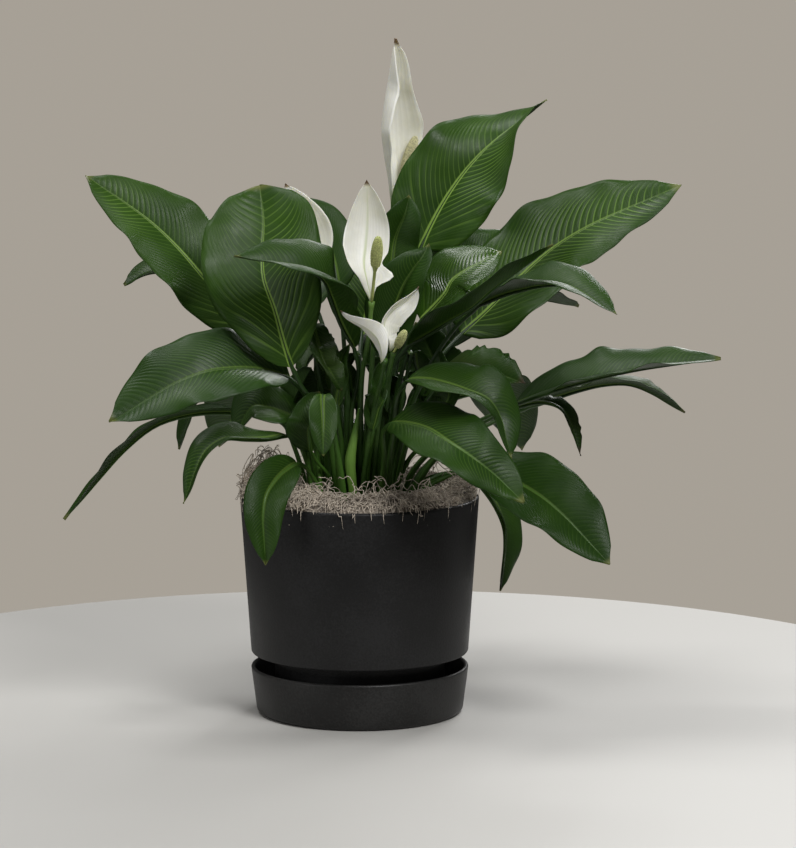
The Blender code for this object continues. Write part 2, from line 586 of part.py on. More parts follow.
def make_clip(stem):
    """A small collar that was pushed on a flower's stalk to hold it up."""
    ahead, side, up = (axes[CLIP_STATION] for axes in stem.frames())
    centre = stem.line[CLIP_STATION]
    outline = [(CLIP_BORE, 0.0), (CLIP_RADIUS, 0.0)]
    outline += [(CLIP_RADIUS, CLIP_HEIGHT), (CLIP_BORE, CLIP_HEIGHT)]
    bm = bmesh.new()
    rings = []
    for k in range(CLIP_SIDES):
        angle = math.tau * k / CLIP_SIDES
        outward = math.cos(angle) * side + math.sin(angle) * up
        rings.append([bm.verts.new(centre + r * outward + z * ahead) for r, z in outline])
    for ring, following in zip(rings, rings[1:] + rings[:1]):
        for k in range(4):
            bm.faces.new((ring[k], ring[(k + 1) % 4], following[(k + 1) % 4], following[k]))
    return add_object("stalk_clip", bm, "clip_green")


# ---- the whole pot of lilies

for piece in list(bpy.data.objects):
    bpy.data.objects.remove(piece, do_unlink=True)

make_saucer()
make_pot()
make_soil()
make_moss()

leaves = [Stem(*row) for row in LEAVES]
flowers = [Stem(*row[:7], form=SPATHE_FORM) for row in FLOWERS]
rolled = Stem(*ROLLED_LEAF)
settle(leaves + flowers + [rolled])

for leaf in leaves:
    make_leaf(leaf)
make_rolled_leaf(rolled)
for flower, row in zip(flowers, FLOWERS):
    make_flower(flower, *row[7:])
make_clip(flowers[-1])
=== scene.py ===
import json
import math
import random

import bmesh
import bpy
import numpy as np
from mathutils import Matrix, Vector
from mathutils.bvhtree import BVHTree

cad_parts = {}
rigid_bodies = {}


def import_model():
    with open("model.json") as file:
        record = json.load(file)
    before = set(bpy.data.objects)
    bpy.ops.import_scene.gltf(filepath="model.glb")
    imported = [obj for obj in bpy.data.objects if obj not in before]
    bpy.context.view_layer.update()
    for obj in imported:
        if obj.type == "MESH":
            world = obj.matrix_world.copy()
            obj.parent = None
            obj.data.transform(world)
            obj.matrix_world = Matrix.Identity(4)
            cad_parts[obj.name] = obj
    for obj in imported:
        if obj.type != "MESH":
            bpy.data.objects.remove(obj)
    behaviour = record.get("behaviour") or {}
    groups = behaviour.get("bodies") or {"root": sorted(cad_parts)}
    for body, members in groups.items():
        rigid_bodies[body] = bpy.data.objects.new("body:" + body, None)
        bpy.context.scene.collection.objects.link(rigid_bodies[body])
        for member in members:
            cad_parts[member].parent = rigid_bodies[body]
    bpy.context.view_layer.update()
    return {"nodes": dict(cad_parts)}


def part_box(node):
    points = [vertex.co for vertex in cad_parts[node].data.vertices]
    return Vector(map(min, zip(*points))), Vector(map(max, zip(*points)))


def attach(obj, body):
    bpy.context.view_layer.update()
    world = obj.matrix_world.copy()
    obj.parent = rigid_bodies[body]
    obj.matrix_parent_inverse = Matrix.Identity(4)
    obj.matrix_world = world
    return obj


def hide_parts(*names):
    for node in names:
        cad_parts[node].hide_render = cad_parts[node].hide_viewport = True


# A potted peace lily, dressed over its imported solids. Metres, +Z up, -Y to the front.
# The sections follow the order in which the plant is potted up.
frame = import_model()
bpy.ops.object.select_all(action="DESELECT")


# ---- Saucer: a low dish of fired clay under a matte black glaze. It is thrown on a wheel, with a
# rounded foot and a thin lip, and it holds the water that drains out of the pot.

TURNED_SIDES = 160
SAUCER_FOOT = 0.122          # radius where it stands
SAUCER_LIP = 0.128
SAUCER_HEIGHT = 0.055
SAUCER_WALL = 0.005
SAUCER_FLOOR = 0.008
SAUCER_ROUND = 0.006         # of the edge that it stands on
SAUCER_BLACK = (0.0100, 0.0098, 0.0095, 1.0)
SAUCER_SHEEN = (0.38, 0.50)  # roughness, least and most
GLAZE_SHINE = 0.30           # how much a matte glaze reflects


class Value:
    """A socket of a finish. Arithmetic on it adds the Math nodes that work it out."""

    def __init__(self, finish, socket):
        self.finish = finish
        self.socket = socket

    def maths(self, operation, first, second=0.0):
        return self.finish.node("ShaderNodeMath", {"operation": operation}, {0: first, 1: second})

    def __add__(self, other):
        return self.maths("ADD", self, other)

    def __sub__(self, other):
        return self.maths("SUBTRACT", self, other)

    def __rsub__(self, other):
        return self.maths("SUBTRACT", other, self)

    def __mul__(self, other):
        return self.maths("MULTIPLY", self, other)

    def __rmul__(self, other):
        return self.maths("MULTIPLY", other, self)

    def __pow__(self, other):
        return self.maths("POWER", self, other)

    def __abs__(self):
        return self.maths("ABSOLUTE", self)


class Finish:
    """A material in the making, with the few patterns that the lily's finishes are built from."""

    def __init__(self, name):
        self.material = bpy.data.materials.new(name)
        self.material.use_nodes = True
        self.tree = self.material.node_tree
        self.shader = self.tree.nodes["Principled BSDF"]

    def feed(self, socket, value):
        """Link a value to a socket, or set a plain number or colour on it."""
        if isinstance(value, Value):
            self.tree.links.new(value.socket, socket)
        else:
            socket.default_value = value

    def node(self, kind, settings, sockets, output=0):
        """Add a node: its settings first, then the values or links of its sockets."""
        made = self.tree.nodes.new(kind)
        for key, value in settings.items():
            setattr(made, key, value)
        for key, value in sockets.items():
            self.feed(made.inputs[key], value)
        return Value(self, made.outputs[output])

    def place(self):
        """Where a point of the piece is, in metres."""
        return self.node("ShaderNodeTexCoord", {}, {}, "Object")

    def grown(self, name):
        """An attribute that was laid on the piece as it was shaped, split in three."""
        whole = self.node("ShaderNodeAttribute", {"attribute_name": name}, {}, "Vector")
        return [self.node("ShaderNodeSeparateXYZ", {}, {0: whole}, k) for k in range(3)]

    def stretched(self, scale):
        """Where a point is, with each axis scaled."""
        return self.node("ShaderNodeMapping", {}, {"Vector": self.place(), "Scale": scale})

    def mottle(self, scale, detail=3.0, place=None):
        """Cloudy noise, from 0 to 1, with that many features to a metre."""
        sockets = {"Vector": place or self.place(), "Scale": scale, "Detail": detail}
        return self.node("ShaderNodeTexNoise", {}, sockets)

    def ease(self, value, low, high, start=0.0, end=1.0):
        """Go smoothly from start to end while the value goes from low to high."""
        sockets = {0: value, 1: low, 2: high, 3: start, 4: end}
        return self.node("ShaderNodeMapRange", {"interpolation_type": "SMOOTHSTEP"}, sockets)

    def blend(self, share, first, second):
        """Mix two colours."""
        return self.node("ShaderNodeMix", {"data_type": "RGBA"}, {0: share, 6: first, 7: second}, 2)

    def dent(self, height, distance):
        """Raise and lower the surface by a pattern, by that distance at most."""
        return self.node("ShaderNodeBump", {}, {"Height": height, "Distance": distance, "Strength": 1.0})

    def done(self, **sockets):
        """Feed the shader: Base_Color for its Base Color socket, and so on."""
        for key, value in sockets.items():
            self.feed(self.shader.inputs[key.replace("_", " ")], value)
        return self.material


def corner(radius, height, bend, start, end, steps=5):
    """Points of a rounded corner in the (radius, height) plane, angles in degrees."""
    angles = [math.radians(start + (end - start) * k / steps) for k in range(steps + 1)]
    return [(radius + bend * math.cos(a), height + bend * math.sin(a)) for a in angles]


def thrown(name, outline, filled):
    """Throw a round piece: a ring is drawn through the outline, one extrusion at a time.

    A filled one begins and ends as a disc. An open one is closed from its last ring to its first.
    """
    bpy.ops.mesh.primitive_circle_add(vertices=TURNED_SIDES, radius=outline[0][0],
                                      location=(0, 0, outline[0][1]),
                                      fill_type="NGON" if filled else "NOTHING")
    piece = bpy.context.object
    piece.name = name
    bpy.ops.object.transform_apply(location=True)
    bpy.ops.object.mode_set(mode="EDIT")
    for (radius, height), (wider, higher) in zip(outline, outline[1:]):
        bpy.ops.mesh.extrude_region_move(TRANSFORM_OT_translate={"value": (0, 0, higher - height)})
        bpy.ops.transform.resize(value=(wider / radius, wider / radius, 1), center_override=(0, 0, 0))
    if not filled:
        bpy.ops.mesh.select_all(action="DESELECT")
        bpy.ops.mesh.select_non_manifold()
        bpy.ops.mesh.bridge_edge_loops()
    bpy.ops.mesh.select_all(action="SELECT")
    bpy.ops.mesh.normals_make_consistent(inside=False)
    bpy.ops.object.mode_set(mode="OBJECT")
    bpy.ops.object.shade_smooth_by_angle(angle=math.radians(40))
    return piece


def settle_piece(piece, slot, *nodes):
    """Hang a finished piece on the pot's body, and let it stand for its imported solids."""
    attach(piece, "root")
    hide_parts(*nodes)
    bpy.ops.object.select_all(action="DESELECT")


def glaze(name, colour, sheen):
    """A matte black glaze: faintly cloudy, with the fine orange peel of a sprayed coat."""
    finish = Finish(name)
    cloud = finish.mottle(14.0)
    speck = finish.mottle(420.0, 2.0)
    worn = tuple(2.1 * c for c in colour[:3]) + (1.0,)
    shade = finish.blend(finish.ease(cloud * 0.5 + speck * 0.5, 0.40, 0.64), colour, worn)
    rough = finish.ease(cloud * 0.6 + speck * 0.4, 0.35, 0.65, *sheen)
    finish.shader.inputs["Specular IOR Level"].default_value = GLAZE_SHINE
    return finish.done(Base_Color=shade, Roughness=rough, Normal=finish.dent(speck, 0.00016))


lip_middle = SAUCER_LIP - SAUCER_WALL / 2
saucer_outline = [(SAUCER_FOOT - SAUCER_ROUND - 0.004, 0.0)]
saucer_outline += corner(SAUCER_FOOT - SAUCER_ROUND, SAUCER_ROUND, SAUCER_ROUND, -90, -4)
saucer_outline += corner(lip_middle, SAUCER_HEIGHT - SAUCER_WALL / 2, SAUCER_WALL / 2, 0, 180)
saucer_outline += corner(SAUCER_FOOT - 2 * SAUCER_WALL, SAUCER_FLOOR + SAUCER_WALL, SAUCER_WALL, 0, -90)
saucer = thrown("lily_saucer", saucer_outline, filled=True)
saucer.data.materials.append(glaze("matte black saucer glaze", SAUCER_BLACK, SAUCER_SHEEN))
settle_piece(saucer, "saucer_glaze", "saucer")


# ---- Pot: a tapered tub of the same fired clay and glaze, thrown with a rounded rim. It stands on
# a ring under its floor, so that water runs through the drain hole into the saucer.

POT_RIM = 0.140
POT_TOP = 0.256
POT_LOW = 0.128              # radius at its lower edge
POT_FOOT = 0.071             # height of its lower edge
POT_WALL = 0.0065
POT_FLOOR = 0.012
POT_EDGE = 0.003
STAND_RADIUS = 0.100
STAND_WALL = 0.010
STAND_HEIGHT = 0.0083
DRAIN_RADIUS = 0.009
POT_BLACK = (0.0064, 0.0064, 0.0067, 1.0)
POT_SHEEN = (0.42, 0.54)

pot_outline = [(DRAIN_RADIUS, POT_FOOT), (STAND_RADIUS - STAND_WALL, POT_FOOT)]
pot_outline += [(STAND_RADIUS - STAND_WALL, STAND_HEIGHT), (STAND_RADIUS, STAND_HEIGHT)]
pot_outline += [(STAND_RADIUS, POT_FOOT)]
pot_outline += corner(POT_LOW - POT_EDGE, POT_FOOT + POT_EDGE, POT_EDGE, -90, -3)
pot_outline += corner(POT_RIM - POT_WALL / 2, POT_TOP - POT_WALL / 2, POT_WALL / 2, -3, 180, 8)
pot_outline += [(POT_LOW - POT_WALL, POT_FOOT + POT_FLOOR), (DRAIN_RADIUS, POT_FOOT + POT_FLOOR)]
pot = thrown("lily_pot", pot_outline, filled=False)
pot.data.materials.append(glaze("matte black pot glaze", POT_BLACK, POT_SHEEN))
settle_piece(pot, "pot_glaze", "pot")


# ---- Soil: a dark peat mix that fills the pot to a little below its rim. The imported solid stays,
# and loose crumbs lie on it between the stalks.

SOIL_BROWN = (0.020, 0.013, 0.008, 1.0)
SOIL_PALE = (0.065, 0.043, 0.026, 1.0)
CRUMBS = 700
CRUMB_FIELD = 0.100          # radius of the ground that they lie on
CRUMB_SIZE = (0.0012, 0.0036)


def peat():
    """Moist peat: dark crumbs with paler fibres, and no shine."""
    finish = Finish("potting peat")
    crumb = finish.mottle(260.0, 6.0)
    shade = finish.blend(finish.ease(crumb, 0.42, 0.72), SOIL_BROWN, SOIL_PALE)
    rough = finish.ease(crumb, 0.3, 0.7, 0.80, 0.98)
    return finish.done(Base_Color=shade, Roughness=rough, Normal=finish.dent(crumb, 0.002))


def strewn(name, pattern, turns, centres):
    """Copy a small modelled shape to many places, as one piece. Each turn is a 3 x 3 array."""
    corners = np.array([v.co for v in pattern.data.vertices])
    faces = [np.array(p.vertices) for p in pattern.data.polygons]
    every = np.einsum("kij,nj->kni", np.array(turns), corners) + np.array(centres)[:, None, :]
    copies = [tuple(face + k * len(corners)) for k in range(len(centres)) for face in faces]
    mesh = bpy.data.meshes.new(name)
    mesh.from_pydata(every.reshape(-1, 3), [], copies)
    mesh.shade_smooth()
    piece = bpy.data.objects.new(name, mesh)
    bpy.context.scene.collection.objects.link(piece)
    bpy.data.objects.remove(pattern)
    return piece


def any_turn(chance, size, flat=1.0):
    """A random turn in space and a size, as one array."""
    turn, _ = np.linalg.qr(np.array([[chance.gauss(0, 1) for _ in range(3)] for _ in range(3)]))
    turn *= np.sign(np.linalg.det(turn))
    return turn * size * np.array((1.0, flat, 1.0))


peat_finish = peat()
frame["nodes"]["soil"].data.materials.clear()
frame["nodes"]["soil"].data.materials.append(peat_finish)
soil_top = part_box("soil")[1].z
chance = random.Random(11)
bpy.ops.mesh.primitive_ico_sphere_add(subdivisions=1, radius=0.5)
crumb = bpy.context.object
turns, centres = [], []
for _ in range(CRUMBS):
    angle = chance.uniform(0, math.tau)
    reach = CRUMB_FIELD * math.sqrt(chance.random())
    size = chance.uniform(*CRUMB_SIZE)
    turns.append(any_turn(chance, size, 0.7))
    centres.append((reach * math.cos(angle), reach * math.sin(angle), soil_top + 0.2 * size))
crumbs = strewn("lily_soil_crumbs", crumb, turns, centres)
crumbs.data.materials.append(peat_finish)
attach(crumbs, "root")


# ---- Moss: dried Spanish moss, a tangle of curled grey-tan strands. It is laid by hand round the
# crown to hide the soil, heaped on the left, and a few strands spill over the rim.

MOSS_TAN = (0.640, 0.560, 0.460, 1.0)
MOSS_GREY = (0.330, 0.285, 0.235, 1.0)
# painted shade: the dark colour of the inside of the tangle, where the strands shade each other
MOSS_PAINTED_SHADE = (0.070, 0.055, 0.042, 1.0)
MOSS_STRANDS = 2600
MOSS_STRAND_RADIUS = 0.00048
MOSS_STRAND_STEP = 0.0026    # between points along a strand
MOSS_INNER = 0.060
MOSS_OUTER = 0.139
MOSS_SPILL = 0.012           # how far a strand may hang below the rim
MOSS_BUNDLES = 3             # pieces that the strands are made up in
MOSS_HEAP = 188              # the side that it is heaped on, in degrees
MOSS_HEART = 0.052           # radius round the crown that strands keep out of
ARCHING_PART = 0.11          # part of the strands that arch up
SPILLING_FROM = 0.975        # the rest of them, from here to 1, spill over the rim


def dry_moss(name, dark, pale):
    """Dry fibre, paler where it has bleached, and dull."""
    finish = Finish(name)
    patch = finish.mottle(38.0, 2.0)
    fleck = finish.mottle(600.0, 1.0)
    shade = finish.blend(finish.ease(patch * 0.6 + fleck * 0.4, 0.36, 0.62), dark, pale)
    return finish.done(Base_Color=shade, Roughness=finish.ease(fleck, 0.3, 0.7, 0.75, 0.95),
                       Normal=finish.dent(fleck, 0.0003))


def moss_mat():
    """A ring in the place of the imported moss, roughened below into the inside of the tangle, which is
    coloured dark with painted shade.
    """
    bpy.ops.mesh.primitive_torus_add(major_segments=220, minor_segments=40,
                                     major_radius=(MOSS_INNER + MOSS_OUTER) / 2,
                                     minor_radius=(MOSS_OUTER - MOSS_INNER) / 2 - 0.002)
    mat = bpy.context.object
    mat.name = "lily_moss_mat"
    return mat


packed = frame["nodes"]["moss"].data
packed_moss = BVHTree.FromPolygons([v.co for v in packed.vertices], [p.vertices for p in packed.polygons])


def height_of_moss(x, y):
    """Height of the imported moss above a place, or None where there is none."""
    point = packed_moss.ray_cast((x, y, 0.5), (0, 0, -1))[0]
    return point.z if point else None


mat = moss_mat()
chance = random.Random(23)
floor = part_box("moss")[0].z
for vertex in mat.data.vertices:
    x, y, z = vertex.co
    top = height_of_moss(x, y) or soil_top
    ripple = 0.0012 * math.sin(310 * x + 4 * math.sin(170 * y)) + chance.gauss(0, 0.0006)
    vertex.co.z = floor + 0.001 if z < 0 else max(top - 0.0035 + ripple, floor + 0.002)
mat.data.shade_smooth()
# The mat is coloured with painted shade, mottled from the dark of the shaded inside of the tangle to grey.
mat.data.materials.append(dry_moss("moss in shadow", MOSS_PAINTED_SHADE, MOSS_GREY))
settle_piece(mat, "dry_moss", "moss")

strand_finish = dry_moss("dry moss strands", MOSS_GREY, MOSS_TAN)
bundles = [[] for _ in range(MOSS_BUNDLES)]
for k in range(MOSS_STRANDS):
    angle = chance.uniform(0, math.tau)
    if k % 3 == 0:
        angle = math.radians(MOSS_HEAP) + chance.gauss(0, 0.45)
    reach = math.sqrt(chance.uniform(MOSS_INNER ** 2, MOSS_OUTER ** 2))
    x, y = reach * math.cos(angle), reach * math.sin(angle)
    heading = chance.uniform(0, math.tau)
    turning = chance.choice((-1, 1)) * chance.uniform(0.10, 0.70)
    kind = chance.random()
    lift = chance.uniform(-0.0015, 0.0060)
    arch = chance.uniform(0.004, 0.024) if kind < ARCHING_PART else 0.0
    loose = math.pi * chance.uniform(0.5, 1.0)
    spill = chance.uniform(0.25, 1.0) * MOSS_SPILL if kind > SPILLING_FROM else 0.0
    limit = chance.uniform(0.134, 0.1405) + (0.006 if spill or arch else 0.0)
    curl = chance.uniform(0.0006, 0.0026)
    waver = chance.uniform(0, math.tau)
    points = []
    steps = int(chance.uniform(8, 22))
    for step in range(steps):
        reach = math.hypot(x, y)
        if reach > limit:
            heading = math.atan2(y, x) + math.pi + chance.gauss(0, 0.8)
        if reach < MOSS_HEART:
            break
        top = height_of_moss(x, y)
        if top is None:
            past = max(reach - MOSS_OUTER, 0.0)
            top = POT_TOP + 0.001 - spill * min(past / 0.005, 1.0) if past else soil_top + 0.004
        z = top + lift + arch * math.sin(loose * step / steps) + curl * math.sin(1.1 * step + waver)
        points.append((x, y, z))
        heading += turning + chance.gauss(0, 0.35)
        if chance.random() < 0.12:
            turning = -turning
        x += MOSS_STRAND_STEP * math.cos(heading)
        y += MOSS_STRAND_STEP * math.sin(heading)
    if len(points) > 4:
        bundles[k % MOSS_BUNDLES].append(points)

for number, bundle in enumerate(bundles, 1):
    line = bpy.data.curves.new("lily_moss_strands_%d" % number, "CURVE")
    line.dimensions = "3D"
    line.bevel_depth = MOSS_STRAND_RADIUS
    line.bevel_resolution = 0
    line.use_fill_caps = True
    for points in bundle:
        spline = line.splines.new("POLY")
        spline.points.add(len(points) - 1)
        for point, place in zip(spline.points, points):
            point.co = (*place, 1.0)
            point.radius = chance.uniform(0.7, 1.2)
    strands = bpy.data.objects.new(line.name, line)
    bpy.context.scene.collection.objects.link(strands)
    strands.select_set(True)
    bpy.context.view_layer.objects.active = strands
    bpy.ops.object.convert(target="MESH")
    strands = bpy.context.object
    strands.data.shade_smooth()
    strands.data.materials.append(strand_finish)
    settle_piece(strands, "dry_moss", "moss")


# ---- Leaves: each is one stalk that widens at its foot into a sheath, has a knee at its top, and
# runs on as the midrib of a thin glossy blade, quilted between its curved side veins.

STALK_SIDES = 14
LEAF_FOOT = 0.0042           # radius of a stalk on the soil, and at the blade
LEAF_NECK = 0.0022
LEAF_SKIN = 0.0006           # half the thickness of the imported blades
LEAF_THICKNESS = 0.0005
LEAF_FORMS = ((0.66, 0.80), (0.42, 0.72), (0.75, 0.55))     # how slender towards neck and tip
VEIN_SPACING = 0.15          # along the midrib, as a part of the blade's half-width
CLOSEST_VEINS = 0.0046
QUILTING = 0.0048            # how far the blade swells between its veins, as a part of its half-width
LEAF_SHINE = 0.20            # how much a satin blade reflects
WET_SHINE = 0.55             # how much the glossiest blade does
GLOSSIEST = "glossy_middle"
GLOSSIEST_QUILTING = 3.0     # times that of the others
MARGIN_WAVELENGTH = 0.085
LEAF_WAVE = 0.075            # of the margins, as a part of the half-width, and what withering adds
WITHERED_WAVE = 0.10
STALK_SHINE = 0.35
KNEE_AT = 0.965              # along a stalk, and how much it swells there
KNEE_SWELL = 0.32
SHEATH_END = 0.55            # along a stalk, and how much the sheath widens its foot
SHEATH_SPREAD = 1.5
BLADE_STATIONS = np.array((1, 3, 6, 9, 12, 15, 17, 18)) / 19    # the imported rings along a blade
LEAF_DEEP = (0.0115, 0.0360, 0.0038, 1.0)
LEAF_FRESH = (0.0300, 0.0740, 0.0072, 1.0)
LEAF_VEIN = (0.1250, 0.2250, 0.0360, 1.0)
LEAF_RIB = (0.2100, 0.3400, 0.0600, 1.0)
LEAF_UNDER = (0.0240, 0.0400, 0.0130, 1.0)
LEAF_UNDER_RIB = (0.0700, 0.1250, 0.0280, 1.0)
LEAF_BROWN = (0.0420, 0.0300, 0.0150, 1.0)
LEAF_TIP = (0.1600, 0.1700, 0.0500, 1.0)
STALK_GREEN = (0.0100, 0.0300, 0.0045, 1.0)
STALK_LIGHT = (0.0500, 0.1250, 0.0160, 1.0)
# the upper leaves that the light falls on: they are painted paler, with stronger veins and midrib, partly as
# painted light
LIT_BRIGHT_VEINED = ("left_high", "left_upright", "right_highest", "right_high", "glossy_middle", "back_high")
WITHERED = {"right_ragged": 0.55, "front_withered": 0.35, "right_wisp": 0.6, "right_thin": 0.35}


def unit(vectors):
    """The same directions with a length of one."""
    return vectors / (np.linalg.norm(vectors, axis=-1, keepdims=True) + 1e-12)


def flowing(knots, values, wanted):
    """Read a smooth curve through the values at the knots."""
    slopes = np.gradient(values, knots, axis=0)
    k = np.clip(np.searchsorted(knots, wanted) - 1, 0, len(knots) - 2)
    step = (knots[k + 1] - knots[k])[..., None]
    t = (wanted[..., None] - knots[k][..., None]) / step
    rise = values[k + 1] - values[k]
    start, end = slopes[k] * step, slopes[k + 1] * step
    return values[k] + t * (start + t * ((3 * rise - 2 * start - end) + t * (start + end - 2 * rise)))


def rings_of(node):
    """The rings of eight corners that a packed stem was lofted through, foot first, and its tip."""
    bm = bmesh.new()
    bm.from_mesh(frame["nodes"][node].data)
    bmesh.ops.remove_doubles(bm, verts=bm.verts, dist=1e-6)
    for tip in [v for v in bm.verts if len(v.link_edges) == 8]:
        levels, seen = [[tip]], {tip}
        while levels[-1]:
            found = {e.other_vert(v) for v in levels[-1] for e in v.link_edges} - seen
            seen |= found
            levels.append(sorted(found, key=lambda v: v.index))
        if all(len(level) == 8 for level in levels[1:-1]):
            break
    rings = [np.array([v.co for v in level]) for level in levels[1:-1]]
    tip = np.array(tip.co)
    bm.free()
    return rings[::-1], tip


def outline(share, form):
    """Half-width of a blade along its length, as a part of the widest."""
    base, tip = form
    widest = base / (base + tip)
    return (share / widest) ** base * ((1 - share) / (1 - widest)) ** tip


class Stem:
    """The line of a leaf or of a flower's spathe, and how its blade is turned and folded."""

    def __init__(self, node, forms, skin):
        rings, tip = rings_of(node)
        self.stalk = np.array([ring.mean(0) for ring in rings[:-8]])
        middles, ups, halves, edge_lifts, quarter_lifts = [], [], [], [], []
        for ring in rings[-8:]:
            apart = np.linalg.norm(ring[:, None] - ring[None], axis=-1)
            left, right = (ring[k] for k in np.unravel_index(apart.argmax(), apart.shape))
            between = (left + right) / 2
            order = np.argsort(abs((ring - between) @ unit(right - left)))
            up = unit(between - ring[order[:2]].mean(0))
            middle = max(ring[order[:2]], key=lambda corner: corner @ up) - skin * up
            half = apart.max() / 2
            middles.append(middle)
            ups.append(up)
            halves.append(half)
            edge_lifts.append((between - middle) @ up / half)
            quarter_lifts.append(((ring[order[2:6]] - middle) @ up).mean() / half)
        line = np.array([self.stalk[-1]] + middles + [tip])
        self.length = np.linalg.norm(np.diff(line, axis=0), axis=1).sum()
        self.knots = np.concatenate(([0.0], BLADE_STATIONS, [1.0]))
        self.line = line
        self.ups = np.array([ups[0]] + ups + [ups[-1]])
        fits = [np.array(halves) / outline(BLADE_STATIONS, form) for form in forms]
        best = int(np.argmin([fit.std() / fit.mean() for fit in fits]))
        self.form = forms[best]
        self.half_width = fits[best].mean()
        edge, quarter = np.mean(edge_lifts), np.mean(quarter_lifts)
        self.lifts = (4 * quarter - edge, 2 * edge - 4 * quarter)

    def frames(self, share):
        """Place, side and upper normal of the midrib."""
        place = flowing(self.knots, self.line, share)
        step = 1e-3
        ahead = unit(flowing(self.knots, self.line, np.minimum(share + step, 1.0))
                     - flowing(self.knots, self.line, np.maximum(share - step, 0.0)))
        up = flowing(self.knots, self.ups, share)
        up = unit(up - (up * ahead).sum(-1, keepdims=True) * ahead)
        return place, np.cross(ahead, up), up


def carried(line, normal):
    """Sides and normals along a line, carried back from the normal at its end without twisting."""
    ahead = unit(np.gradient(line, axis=0))
    normals = np.zeros_like(line)
    normals[-1] = unit(normal - (normal @ ahead[-1]) * ahead[-1])
    for k in range(len(line) - 2, -1, -1):
        normals[k] = unit(normals[k + 1] - (normals[k + 1] @ ahead[k]) * ahead[k])
    return np.cross(ahead, normals), normals


def drawn_stalk(name, line, sides, normals, widths, depths, groove):
    """Draw a stalk along a line. It is oval, and channelled along its upper side."""
    rows = len(line) + 2
    bpy.ops.mesh.primitive_grid_add(x_subdivisions=STALK_SIDES, y_subdivisions=rows - 1, size=2)
    stalk = bpy.context.object
    stalk.name = name
    flat = np.array([v.co for v in stalk.data.vertices])
    angle = math.pi * flat[:, 0]
    row = np.rint((flat[:, 1] + 1) / 2 * (rows - 1)).astype(int)
    at = np.clip(row - 1, 0, len(line) - 1)
    open_end = ((row > 0) & (row < rows - 1)).astype(float)
    depth = depths[at] * np.sin(angle)
    depth -= groove[at] * depths[at] * np.exp(-((angle - math.pi / 2) / 0.55) ** 2)
    width = widths[at] * np.cos(angle)
    placed = line[at] + open_end[:, None] * (width[:, None] * sides[at] + depth[:, None] * normals[at])
    stalk.data.vertices.foreach_set("co", placed.ravel())
    bpy.ops.object.mode_set(mode="EDIT")
    bpy.ops.mesh.remove_doubles(threshold=1e-6)
    bpy.ops.mesh.normals_make_consistent(inside=False)
    bpy.ops.object.mode_set(mode="OBJECT")
    stalk.data.shade_smooth()
    bpy.ops.object.select_all(action="DESELECT")
    return stalk


def laid(piece, name, first, second, third):
    """Lay three numbers for each corner on a piece, for its finish to read."""
    layer = piece.data.attributes.new(name, "FLOAT_VECTOR", "POINT")
    layer.data.foreach_set("vector", np.stack((first, second, third), axis=-1).ravel())


def grown_blade(name, stem, rows, columns, thickness, veins, puff, wave, shape, chance, tone_and_light, wither):
    """Shape a flat grid into a blade: veined, waved at its margins, then given its thickness.

    It lays "blade" on the piece: across from -1 to 1, the count of side veins, and along from 0 to 1.
    """
    bpy.ops.mesh.primitive_grid_add(x_subdivisions=columns, y_subdivisions=rows, size=2)
    blade = bpy.context.object
    blade.name = name
    flat = np.array([v.co for v in blade.data.vertices])
    across = np.sign(flat[:, 0]) * abs(flat[:, 0]) ** 1.2
    away = abs(across)
    along = (flat[:, 1] + 1) / 2
    along = along - 0.3 * np.sin(math.tau * along) / math.tau
    count = veins * along + 0.4 * (across > 0)
    slant = min(1.9 * stem.half_width / stem.length, 0.6) * (0.62 * away + 0.38 * away ** 2)
    share = along + slant * 1.25 * (1 - along) * (1 - np.exp(-10 * along))
    share = np.clip(share, 0.0, 1.0)
    place, side, up = stem.frames(share)
    half = stem.half_width * outline(share, stem.form) * (1 - 0.4 * np.clip((share - 0.93) / 0.07, 0, 1))
    if wither:
        half *= 1 + wither * 0.16 * away * np.sin(31 * share + 3 * np.sin(17 * share) + 2 * across)
    phases = [chance.uniform(0, math.tau) for _ in range(6)]
    near = np.where(across > 0, phases[0], phases[1])
    beat = math.tau * (stem.length / MARGIN_WAVELENGTH) * share
    margin = wave * half * away ** 2.6 * (np.sin(beat + near) + 0.5 * np.sin(1.9 * beat + 2 * near))
    margin *= np.sin(math.pi * share) ** 0.6
    sway = 0.0022 * np.sin(7 * share + phases[2]) * (1 + across) / 2
    sway += 0.0022 * np.sin(8 * share + phases[3]) * (1 - across) / 2
    beside = np.sin(math.pi * np.clip(away * 1.04, 0, 1)) ** 0.7 * np.sin(math.pi * share) ** 0.5
    off = abs(count - np.rint(count))
    quilt = 0.5 - 0.5 * np.cos(math.tau * count) - 0.5 * np.exp(-(off / 0.12) ** 2)
    quilt *= puff * beside * (1 + 0.5 * np.sin(9 * share + phases[4]) * np.sin(3 * across + phases[5]))
    channel = -0.0007 * (1 - share) * np.exp(-(across * half / 0.0017) ** 2)
    lift = stem.lifts[0] * away + stem.lifts[1] * away ** 2
    raised = half * lift + margin + sway * away + quilt + channel
    placed = place + (across * half)[:, None] * side + raised[:, None] * up
    placed = shape(placed, across, share, side, up)
    blade.data.vertices.foreach_set("co", placed.ravel())
    laid(blade, "blade", across, count, share)
    laid(blade, "size", across * half, np.full(len(flat), tone_and_light), np.full(len(flat), wither))
    bpy.ops.object.mode_set(mode="EDIT")
    bpy.ops.mesh.remove_doubles(threshold=2e-5)
    bpy.ops.object.mode_set(mode="OBJECT")
    solid = blade.modifiers.new("thickness", "SOLIDIFY")
    solid.thickness = thickness
    solid.offset = -1.0
    solid.material_offset = 1
    bpy.ops.object.modifier_apply(modifier=solid.name)
    blade.data.shade_smooth()
    bpy.ops.object.select_all(action="DESELECT")
    return blade


